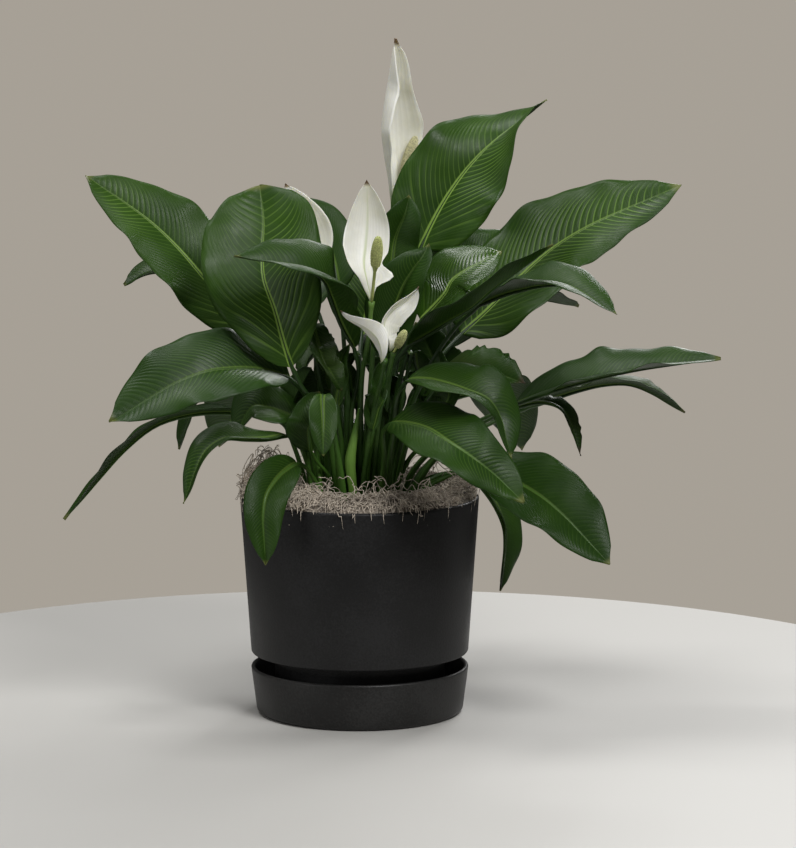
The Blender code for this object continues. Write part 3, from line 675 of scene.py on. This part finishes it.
def unchanged(placed, across, share, side, up):
    """Most blades keep the shape that they grew in."""
    return placed


def joined(first, second):
    """Join the second piece to the first."""
    first.select_set(True)
    second.select_set(True)
    bpy.context.view_layer.objects.active = first
    bpy.ops.object.join()
    bpy.ops.object.select_all(action="DESELECT")
    return first


def glossy_blade(name, shine, dullest):
    """Upper side of a leaf: waxy deep green, paler along its veins and its midrib. On the lit leaves it is
    paler still, with stronger veins and midrib, which is partly painted light.
    """
    finish = Finish(name)
    across, count, along = finish.grown("blade")
    distance, tone_and_light, wither = finish.grown("size")
    cloud = finish.mottle(16.0, 3.0)
    grain = finish.mottle(900.0, 2.0)
    # a random tone, and on the lit leaves a painted light that makes the blade paler
    freshness_and_light = finish.ease(cloud * 0.70 + tone_and_light * 0.20, 0.25, 0.80)
    shade = finish.blend(freshness_and_light, LEAF_DEEP, LEAF_FRESH)
    off = abs(finish.node("ShaderNodeMath", {"operation": "FRACT"}, {0: count + 0.5}) - 0.5)
    vein = 1.0 - finish.ease(off, 0.02, 0.15)
    vein = vein * finish.ease(abs(across), 1.0, 0.45) * finish.ease(along, 1.0, 0.8)
    # the veins and midrib are stronger on the lit leaves: partly vein marking, partly painted light
    strength = finish.ease(finish.mottle(9.0, 1.0), 0.35, 0.65, 0.20, 0.85)
    strength = strength * finish.ease(tone_and_light, 0.0, 1.0, 0.30, 1.0)
    shade = finish.blend(vein * strength, shade, LEAF_VEIN)
    fine = finish.node("ShaderNodeMath", {"operation": "SINE"}, {0: count * 5 * math.tau})
    shade = finish.blend(finish.ease(fine, 0.2, 1.0) * 0.07, shade, LEAF_VEIN)
    rib_width = 0.0030 * (1.0 - along) ** 0.8 + 0.0004
    rib = 1.0 - finish.ease(abs(distance) - rib_width, -0.0007, 0.0003)
    rib_strength = finish.ease(along, 1.0, 0.3, 0.25, 0.9) * finish.ease(tone_and_light, 0.0, 1.0, 0.25, 1.0)
    shade = finish.blend(rib * rib_strength, shade, LEAF_RIB)
    shade = finish.blend(finish.ease(along + cloud * 0.04, 0.975, 1.015) * 0.7, shade, LEAF_TIP)
    dry = finish.ease(along + wither * 0.25 + cloud * 0.05, 1.05, 1.14)
    dry = dry + (1.0 - dry) * wither * finish.ease(cloud, 0.42, 0.7) * 0.6
    shade = finish.blend(dry, shade, LEAF_BROWN)
    rough = finish.ease(finish.mottle(60.0, 3.0), 0.3, 0.7, dullest - 0.14, dullest) + dry * 0.3 + rib * 0.08
    height = grain * 0.5 + fine * 0.25
    finish.shader.inputs["Specular IOR Level"].default_value = shine
    return finish.done(Base_Color=shade, Roughness=rough, Normal=finish.dent(height, 0.00010))


def matte_underside():
    """Underside of a leaf: greyer and duller, with its veins standing out."""
    finish = Finish("leaf, underside")
    across, count, _ = finish.grown("blade")
    distance, _, wither = finish.grown("size")
    cloud = finish.mottle(18.0, 3.0)
    grain = finish.mottle(800.0, 2.0)
    off = abs(finish.node("ShaderNodeMath", {"operation": "FRACT"}, {0: count + 0.5}) - 0.5)
    vein = (1.0 - finish.ease(off, 0.01, 0.10)) * finish.ease(abs(across), 1.0, 0.5)
    shade = finish.blend(finish.ease(cloud, 0.3, 0.7), LEAF_UNDER, LEAF_FRESH)
    shade = finish.blend(vein * 0.35, shade, LEAF_UNDER_RIB)
    rib = 1.0 - finish.ease(abs(distance), 0.0012, 0.0030)
    shade = finish.blend(rib * 0.7, shade, LEAF_UNDER_RIB)
    dry = wither * finish.ease(cloud, 0.40, 0.65) * 0.7
    shade = finish.blend(dry, shade, LEAF_BROWN)
    rough = finish.ease(grain, 0.3, 0.7, 0.50, 0.62)
    finish.shader.inputs["Specular IOR Level"].default_value = LEAF_SHINE
    return finish.done(Base_Color=shade, Roughness=rough, Normal=finish.dent(grain, 0.00010))


def fibrous_stalk(name, green, light, low, high):
    """A stalk: fine fibres along it, and paler near the soil."""
    finish = Finish(name)
    height = finish.node("ShaderNodeSeparateXYZ", {}, {0: finish.place()}, 2)
    fibre = finish.mottle(1.0, 3.0, finish.stretched((700.0, 700.0, 22.0)))
    cloud = finish.mottle(30.0, 2.0)
    pale = finish.ease(height, high, low) * 0.7 + fibre * 0.35
    shade = finish.blend(finish.ease(pale + cloud * 0.5, 0.30, 1.0), green, light)
    rough = finish.ease(fibre, 0.3, 0.7, 0.36, 0.50)
    finish.shader.inputs["Specular IOR Level"].default_value = STALK_SHINE
    return finish.done(Base_Color=shade, Roughness=rough, Normal=finish.dent(fibre, 0.00015))


satin_finish = glossy_blade("leaf, upper side", LEAF_SHINE, 0.46)
wet_finish = glossy_blade("leaf, glossy upper side", WET_SHINE, 0.30)
under_finish = matte_underside()
leaf_stalk_finish = fibrous_stalk("leaf stalk", STALK_GREEN, STALK_LIGHT, 0.235, 0.42)

for node in sorted(frame["nodes"]):
    if not node.startswith("leaf_") or node == "leaf_rolled":
        continue
    plain = node[len("leaf_"):]
    chance = random.Random(plain)
    stem = Stem(node, LEAF_FORMS, LEAF_SKIN)
    wither = WITHERED.get(plain, 0.0)
    veins = round(stem.length / max(VEIN_SPACING * stem.half_width, CLOSEST_VEINS))
    # Listed leaves get a tone of 1, which is partly painted light: paler blades and stronger veins where the
    # light falls. The others take a random tone.
    tone_and_light = 1.0 if plain in LIT_BRIGHT_VEINED else chance.uniform(0.0, 0.45)
    puff = QUILTING * stem.half_width * (GLOSSIEST_QUILTING if plain == GLOSSIEST else 1.0)
    blade = grown_blade("lily_leaf_" + plain, stem, rows=5 * veins + 20, columns=26,
                        thickness=LEAF_THICKNESS, veins=veins, puff=puff,
                        wave=LEAF_WAVE + WITHERED_WAVE * wither, shape=unchanged,
                        chance=chance, tone_and_light=tone_and_light, wither=wither)
    blade.data.materials.append(wet_finish if plain == GLOSSIEST else satin_finish)
    blade.data.materials.append(under_finish)

    # the stalk up to the knee, then the midrib under the blade, in one sweep
    run = np.concatenate(([0.0], np.cumsum(np.linalg.norm(np.diff(stem.stalk, axis=0), axis=1))))
    rise = np.linspace(0, 1, 30)
    lower = flowing(run, stem.stalk, rise * run[-1])
    ribs = np.linspace(0.02, 0.93, 26)
    place, _, up = stem.frames(ribs)
    rib_radius = LEAF_NECK * (1 - ribs) ** 0.85 + 0.0002
    sunk = np.clip(ribs / 0.08, 0, 1)[:, None]
    upper = place - sunk * up * (rib_radius[:, None] - 0.0001)
    line = np.concatenate((lower, upper))
    sides, normals = carried(line, up[-1])
    thick = LEAF_FOOT + (LEAF_NECK - LEAF_FOOT) * rise
    sheath = np.clip(1 - rise / SHEATH_END, 0, 1) ** 0.8
    knee = 1 + KNEE_SWELL * np.exp(-((rise - KNEE_AT) / 0.03) ** 2)
    widths = np.concatenate((thick * knee * (1 + SHEATH_SPREAD * sheath), rib_radius))
    depths = np.concatenate((thick * knee, rib_radius))
    groove = np.concatenate((0.25 + 0.55 * sheath, np.zeros(len(ribs))))
    stalk = drawn_stalk("stalk", line, sides, normals, widths, depths, groove)
    stalk.data.materials.append(leaf_stalk_finish)
    leaf = joined(blade, stalk)
    settle_piece(leaf, "leaf_green", node)


# ---- Inner shoots: short leaves that crowd the heart of the plant between the long stalks. They grow
# like three of the smaller leaves of the crown, turned round it, at other sizes and leans.

SHOOTS = ("middle_short", "front_young", "front_withered")
SHOOT_COUNT = 21
SHOOT_SIZE = (0.66, 0.94)    # of the leaf that each grows like
SHOOT_LEAN = (-0.10, 0.16)   # radians
SHOOT_TURN = 2.4             # radians from one to the next
CROWN_FOOT = Vector((0.0, 0.0, 0.225))

chance = random.Random(5)
for k in range(SHOOT_COUNT):
    parent = bpy.data.objects["lily_leaf_" + SHOOTS[k % 3]]
    shoot = parent.copy()
    shoot.data = parent.data.copy()
    shoot.name = "lily_shoot_%02d" % (k + 1)
    bpy.context.scene.collection.objects.link(shoot)
    size = chance.uniform(*SHOOT_SIZE)
    lean = Matrix.Rotation(chance.uniform(*SHOOT_LEAN), 4, (0.0, 1.0, 0.0))
    turn = Matrix.Rotation(SHOOT_TURN * k + 0.9, 4, "Z")
    about_foot = Matrix.Translation(CROWN_FOOT)
    shoot.data.transform(about_foot @ turn @ lean @ Matrix.Scale(size, 4) @ about_foot.inverted())
    settle_piece(shoot, "leaf_green")


# ---- Rolled leaf: the youngest leaf, still wound round itself into a spear, bright green.

BUD_GREEN = (0.070, 0.170, 0.022, 1.0)
BUD_LIGHT = (0.150, 0.290, 0.050, 1.0)
SPEAR_ROWS = 60
WINDING = 1.28               # turns that it is wound round itself

rings, tip = rings_of("leaf_rolled")
line = np.array([ring.mean(0) for ring in rings] + [tip])
radii = np.array([np.linalg.norm(ring - ring.mean(0), axis=1).mean() for ring in rings] + [0.0004])
run = np.concatenate(([0.0], np.cumsum(np.linalg.norm(np.diff(line, axis=0), axis=1))))
bpy.ops.mesh.primitive_grid_add(x_subdivisions=40, y_subdivisions=SPEAR_ROWS, size=2)
spear = bpy.context.object
spear.name = "lily_leaf_rolled"
flat = np.array([v.co for v in spear.data.vertices])
share = (flat[:, 1] + 1) / 2
centre_rows = flowing(run, line, np.linspace(0, 1, SPEAR_ROWS + 1) * run[-1])
sides, normals = carried(centre_rows, np.array((0.0, -1.0, 0.2)))
row = np.rint(share * SPEAR_ROWS).astype(int)
wound = (flat[:, 0] + 1) / 2
angle = math.tau * WINDING * wound + 2.2 * share
radius = np.interp(share * run[-1], run, radii) * (0.86 + 0.22 * wound)
radius *= 1 + 0.03 * np.sin(9 * angle)
placed = centre_rows[row] + (radius * np.cos(angle))[:, None] * sides[row]
placed += (radius * np.sin(angle))[:, None] * normals[row]
spear.data.vertices.foreach_set("co", placed.ravel())
solid = spear.modifiers.new("thickness", "SOLIDIFY")
solid.thickness = 0.0006
bpy.ops.object.modifier_apply(modifier=solid.name)
spear.data.shade_smooth()
spear.data.materials.append(fibrous_stalk("rolled leaf", BUD_GREEN, BUD_LIGHT, 0.30, 0.37))
settle_piece(spear, "bud_green", "leaf_rolled")


# ---- Flower stalks: round and smooth, a little paler than the leaf stalks, each rising from the
# crown to the foot of its flower.

FLOWER_FOOT = 0.0034
FLOWER_NECK = 0.0024
JOINT_SWELL = 0.55           # how much a stalk swells at its joint with the flower
JOINT_REACH = 0.0015         # how far it reaches on, to the foot of the spike
FLOWER_STALK = (0.022, 0.065, 0.009, 1.0)
FLOWER_STALK_LIGHT = (0.130, 0.240, 0.045, 1.0)

flower_stalk_finish = fibrous_stalk("flower stalk", FLOWER_STALK, FLOWER_STALK_LIGHT, 0.56, 0.40)
flowers = ("top", "middle", "low_right", "low_left", "back")
for flower in flowers:
    node = "flower_%s_stalk" % flower
    rings, _ = rings_of(node)
    line = np.array([ring.mean(0) for ring in rings])
    line = np.vstack((line, line[-1] + JOINT_REACH * unit(line[-1] - line[-2])))
    run = np.concatenate(([0.0], np.cumsum(np.linalg.norm(np.diff(line, axis=0), axis=1))))
    rise = np.linspace(0, 1, 36) ** 0.8
    line = flowing(run, line, rise * run[-1])
    sides, normals = carried(line, np.array((0.0, -1.0, 0.0)))
    thick = FLOWER_FOOT + (FLOWER_NECK - FLOWER_FOOT) * rise
    thick *= 1 + JOINT_SWELL * np.exp(-((rise - 0.996) / 0.022) ** 2)
    stalk = drawn_stalk("lily_flower_stalk_" + flower, line, sides, normals, thick, thick,
                        np.full(36, 0.06))
    stalk.data.materials.append(flower_stalk_finish)
    settle_piece(stalk, "flower_stalk_green", node)


# ---- Spathes: the white hood of each flower, one thick soft leaf that cups round the spike. It is
# cream, green along its spine and at its foot, and dries to a brown point at its tip.

SPATHE_FORMS = ((0.85, 0.90),)
SPATHE_SKIN = 0.0007
SPATHE_THICKNESS = 0.0006
SPATHE_CREAM = (0.850, 0.835, 0.745, 1.0)
SPATHE_SHADE = (0.700, 0.690, 0.590, 1.0)
SPATHE_GREEN = (0.400, 0.480, 0.190, 1.0)
SPATHE_BROWN = (0.110, 0.065, 0.035, 1.0)


def soft_spathe():
    """Cream petal flesh with faint lengthwise veins, and light let a little way through it."""
    finish = Finish("spathe")
    across, _, along = finish.grown("blade")
    cloud = finish.mottle(45.0, 3.0)
    grain = finish.mottle(1100.0, 2.0)
    lines = finish.node("ShaderNodeMath", {"operation": "SINE"}, {0: across * 46.0})
    shade = finish.blend(finish.ease(cloud, 0.35, 0.7) * 0.6, SPATHE_CREAM, SPATHE_SHADE)
    shade = finish.blend(finish.ease(lines, 0.5, 1.0) * 0.25, shade, SPATHE_SHADE)
    spine = 1.0 - finish.ease(abs(across) + cloud * 0.05, 0.03, 0.13)
    spine = spine * finish.ease(along, 0.0, 0.9, 0.9, 0.25)
    foot = finish.ease(along + cloud * 0.06, 0.17, 0.02) * 0.7
    shade = finish.blend(spine + (1.0 - spine) * foot, shade, SPATHE_GREEN)
    dry = finish.ease(along + cloud * 0.015, 0.955, 0.99)
    shade = finish.blend(dry, shade, SPATHE_BROWN)
    finish.shader.inputs["Subsurface Weight"].default_value = 0.25
    finish.shader.inputs["Subsurface Radius"].default_value = (0.004, 0.0035, 0.002)
    finish.shader.inputs["Subsurface Scale"].default_value = 1.0
    rough = finish.ease(cloud, 0.3, 0.7, 0.42, 0.56)
    height = lines * 0.4 + grain * 0.4
    return finish.done(Base_Color=shade, Roughness=rough, Normal=finish.dent(height, 0.00014))


def one_flap(placed, across, share, side, up):
    """Narrow towards its foot, where the lower right corner curls out into a small flap."""
    drawn_in = 0.016 * across * np.clip((0.42 - share) / 0.42, 0, 1) * np.clip(share / 0.2, 0, 1)
    reach = np.exp(-((share - 0.20) / 0.06) ** 2) * np.clip((across - 0.3) / 0.7, 0, 1)
    placed = placed - drawn_in[:, None] * side
    return placed + reach[:, None] * (0.020 * side + 0.010 * up - np.array((0.0, 0.0, 0.009)))


def long_point(placed, across, share, side, up):
    """Drawn out into a long narrow point."""
    drawn_in = 0.013 * across * np.clip((share - 0.45) / 0.30, 0, 1) * np.clip((1 - share) / 0.3, 0, 1)
    return placed - drawn_in[:, None] * side


def half_closed(placed, across, share, side, up):
    """Still half closed, so both margins are drawn in and forward."""
    held = np.sin(math.pi * np.clip(share, 0, 1)) * across
    return placed - (0.005 * held)[:, None] * side + (0.006 * held ** 2)[:, None] * up


def slim(placed, across, share, side, up):
    """Slim, and cupped more deeply than the others."""
    held = np.sin(math.pi * np.clip(share, 0, 1)) * across
    return placed - (0.0045 * held)[:, None] * side + (0.003 * held ** 2)[:, None] * up


spathe_habits = {"middle": one_flap, "top": long_point, "back": half_closed, "low_right": slim}
spathe_finish = soft_spathe()
for flower in flowers:
    node = "flower_%s_spathe" % flower
    stem = Stem(node, SPATHE_FORMS, SPATHE_SKIN)
    spathe = grown_blade("lily_spathe_" + flower, stem, rows=90, columns=30,
                         thickness=SPATHE_THICKNESS, veins=1, puff=0.0, wave=0.05,
                         shape=spathe_habits.get(flower, unchanged), chance=random.Random(flower),
                         tone_and_light=0.5, wither=0.0)
    spathe.data.materials.append(spathe_finish)
    spathe.data.materials.append(spathe_finish)
    settle_piece(spathe, "spathe_white", node)


# ---- Spadices: the spike inside each open spathe, packed all over with tiny round florets in
# spirals, green while young and cream-yellow once ripe.

FLORET_SPACING = 0.00190
SPADIX_YOUNG = (0.520, 0.580, 0.190, 1.0)
SPADIX_RIPE = (0.860, 0.800, 0.520, 1.0)
SPADIX_PITH = (0.130, 0.190, 0.045, 1.0)
RIPENESS = {"top": 0.85, "middle": 0.12, "low_right": 0.35, "back": 0.5}
GOLDEN_ANGLE = math.pi * (3 - math.sqrt(5))


def florets(name, ripeness):
    """Powdery florets, with darker flecks laid by noise: painted shade, standing for the hollows between
    them.
    """
    finish = Finish(name)
    fleck = finish.mottle(420.0, 2.0)
    ripe = tuple(a + (b - a) * ripeness for a, b in zip(SPADIX_YOUNG, SPADIX_RIPE))
    # green here holds painted shade: the floret colour at 0.72 of its brightness, for the shade in the
    # hollows between florets
    green = tuple(0.72 * c for c in ripe[:3]) + (1.0,)
    shade = finish.blend(finish.ease(fleck, 0.38, 0.62), green, ripe)
    return finish.done(Base_Color=shade, Roughness=finish.ease(fleck, 0.3, 0.7, 0.55, 0.75),
                       Normal=finish.dent(fleck, 0.0002))


pith_finish = fibrous_stalk("spadix pith", SPADIX_PITH, SPADIX_YOUNG, 0.25, 0.8)
for flower in flowers:
    node = "flower_%s_spadix" % flower
    if node not in frame["nodes"]:
        continue
    chance = random.Random(flower)
    rings, tip = rings_of(node)
    line = np.array([ring.mean(0) for ring in rings] + [tip])
    radii = np.array([np.linalg.norm(ring - ring.mean(0), axis=1).mean() for ring in rings] + [0.0])
    run = np.concatenate(([0.0], np.cumsum(np.linalg.norm(np.diff(line, axis=0), axis=1))))
    start, end = run[1], run[-1]
    rise = np.concatenate((np.linspace(0, start, 6, endpoint=False), np.linspace(start, end, 26)))
    ripe_part = np.clip((rise - start) / (end - start), 0, 1)
    swell = np.sqrt(np.clip(1 - ((ripe_part - 0.42) / 0.585) ** 2, 0, 1))
    stem_part = radii[0] * (rise < start + 0.002)
    body = np.where(rise < start, radii[0], np.maximum(radii.max() * swell, stem_part))
    line_rows = flowing(run, line, rise)
    sides, normals = carried(line_rows, np.array((0.0, -1.0, 0.0)))
    thin = np.maximum(body - 0.0003, 0.0002)
    pith = drawn_stalk("lily_spadix_pith_" + flower, line_rows, sides, normals, thin, thin,
                       np.zeros(len(rise)))
    pith.data.materials.append(pith_finish)
    settle_piece(pith, "spadix_yellow", node)

    bpy.ops.mesh.primitive_uv_sphere_add(segments=7, ring_count=5, radius=0.5)
    floret = bpy.context.object
    turns, centres = [], []
    travelled, turn = start + 0.0006, 0.0
    while travelled < end - 0.0002:
        reach = np.interp(travelled, rise, body)
        k = int(np.clip(np.searchsorted(rise, travelled), 0, len(rise) - 1))
        centre = flowing(run, line, np.array([travelled]))[0]
        out = math.cos(turn) * sides[k] + math.sin(turn) * normals[k]
        turns.append(any_turn(chance, FLORET_SPACING * chance.uniform(0.95, 1.2)))
        centres.append(centre + out * reach)
        travelled += FLORET_SPACING ** 2 * 0.8 / (math.tau * max(reach, 0.0006))
        turn += GOLDEN_ANGLE
    spike = strewn("lily_spadix_" + flower, floret, turns, centres)
    spike.data.materials.append(florets("spadix florets, " + flower.replace("_", " "), RIPENESS[flower]))
    settle_piece(spike, "spadix_yellow", node)


# ---- Stalk clip: a small moulded ring of soft grey-green plastic, pushed on a flower stalk by the
# grower to hold it up. Its edges are rounded where the mould let it go.

CLIP_SAGE = (0.110, 0.145, 0.085, 1.0)
CLIP_WORN = (0.180, 0.215, 0.140, 1.0)

bm = bmesh.new()
bm.from_mesh(frame["nodes"]["stalk_clip"].data)
bmesh.ops.remove_doubles(bm, verts=bm.verts, dist=1e-6)
clip_mesh = bpy.data.meshes.new("lily_stalk_clip")
bm.to_mesh(clip_mesh)
bm.free()
clip = bpy.data.objects.new("lily_stalk_clip", clip_mesh)
bpy.context.scene.collection.objects.link(clip)
clip.select_set(True)
bpy.context.view_layer.objects.active = clip
edges = clip.modifiers.new("moulded edges", "BEVEL")
edges.width = 0.0009
edges.segments = 3
edges.limit_method = "ANGLE"
edges.angle_limit = math.radians(50)
bpy.ops.object.modifier_apply(modifier=edges.name)
bpy.ops.object.shade_smooth_by_angle(angle=math.radians(50))
clip_finish = Finish("clip plastic")
scuff = clip_finish.mottle(220.0, 3.0)
clip.data.materials.append(clip_finish.done(
    Base_Color=clip_finish.blend(clip_finish.ease(scuff, 0.35, 0.65), CLIP_SAGE, CLIP_WORN),
    Roughness=clip_finish.ease(scuff, 0.3, 0.7, 0.42, 0.58), Normal=clip_finish.dent(scuff, 0.0001)))
settle_piece(clip, "clip_green", "stalk_clip")


# ---- Floor, light and camera: a plain pale round of floor, four soft lamps and a quiet room.

FLOOR_RADIUS = 0.78
FLOOR_PALE = (0.52, 0.51, 0.485, 1.0)
ROOM_SEEN = (0.385, 0.352, 0.305, 1.0)
ROOM_GLOW = (0.60, 0.58, 0.55, 1.0)
LAMPS = (
    # name, place, what it looks at, size, watts
    ("key", (1.3, -2.3, 2.8), (0.0, 0.0, 0.45), 1.2, 88),
    ("fill", (-2.4, -1.9, 1.2), (0.0, 0.0, 0.40), 1.4, 14),
    ("behind", (1.0, 2.2, 2.0), (0.0, 0.0, 0.45), 1.2, 46),
    ("above", (-0.7, 0.1, 2.8), (0.0, 0.0, 0.45), 1.0, 38),
)
ROOM_STRENGTH = 0.17
LENS = 146.5
CAMERA_PLACE = (0.045, -4.0, 0.88)
CAMERA_TILT = 7.69           # degrees below level

bpy.ops.mesh.primitive_circle_add(vertices=256, radius=FLOOR_RADIUS, fill_type="NGON",
                                  location=(0, 0, -0.0006))
floor = bpy.context.object
floor.name = "floor"
floor_finish = Finish("pale floor")
floor.data.materials.append(floor_finish.done(Base_Color=FLOOR_PALE, Roughness=0.55))

world = bpy.data.worlds.new("room")
bpy.context.scene.world = world
world.use_nodes = True
room = world.node_tree.nodes
seen = room.new("ShaderNodeBackground")
seen.inputs["Color"].default_value = ROOM_SEEN
glow = room["Background"]
glow.inputs["Color"].default_value = ROOM_GLOW
glow.inputs["Strength"].default_value = ROOM_STRENGTH
path = room.new("ShaderNodeLightPath")
either = room.new("ShaderNodeMixShader")
links = world.node_tree.links
links.new(path.outputs["Is Camera Ray"], either.inputs[0])
links.new(glow.outputs[0], either.inputs[1])
links.new(seen.outputs[0], either.inputs[2])
links.new(either.outputs[0], room["World Output"].inputs["Surface"])

for name, place, target, size, watts in LAMPS:
    lamp = bpy.data.lights.new(name, "AREA")
    lamp.shape = "SQUARE"
    lamp.size = size
    lamp.energy = watts
    holder = bpy.data.objects.new(name, lamp)
    bpy.context.scene.collection.objects.link(holder)
    holder.location = place
    toward = holder.location - Vector(target)
    holder.rotation_euler = toward.to_track_quat("Z", "Y").to_euler()

camera = bpy.data.cameras.new("camera")
camera.lens = LENS
camera.sensor_width = 36.0
camera.clip_end = 100.0
stand = bpy.data.objects.new("camera", camera)
bpy.context.scene.collection.objects.link(stand)
stand.location = CAMERA_PLACE
stand.rotation_euler = (math.radians(90 - CAMERA_TILT), 0.0, 0.0)
bpy.context.scene.camera = stand
bpy.context.scene.view_settings.view_transform = "Standard"
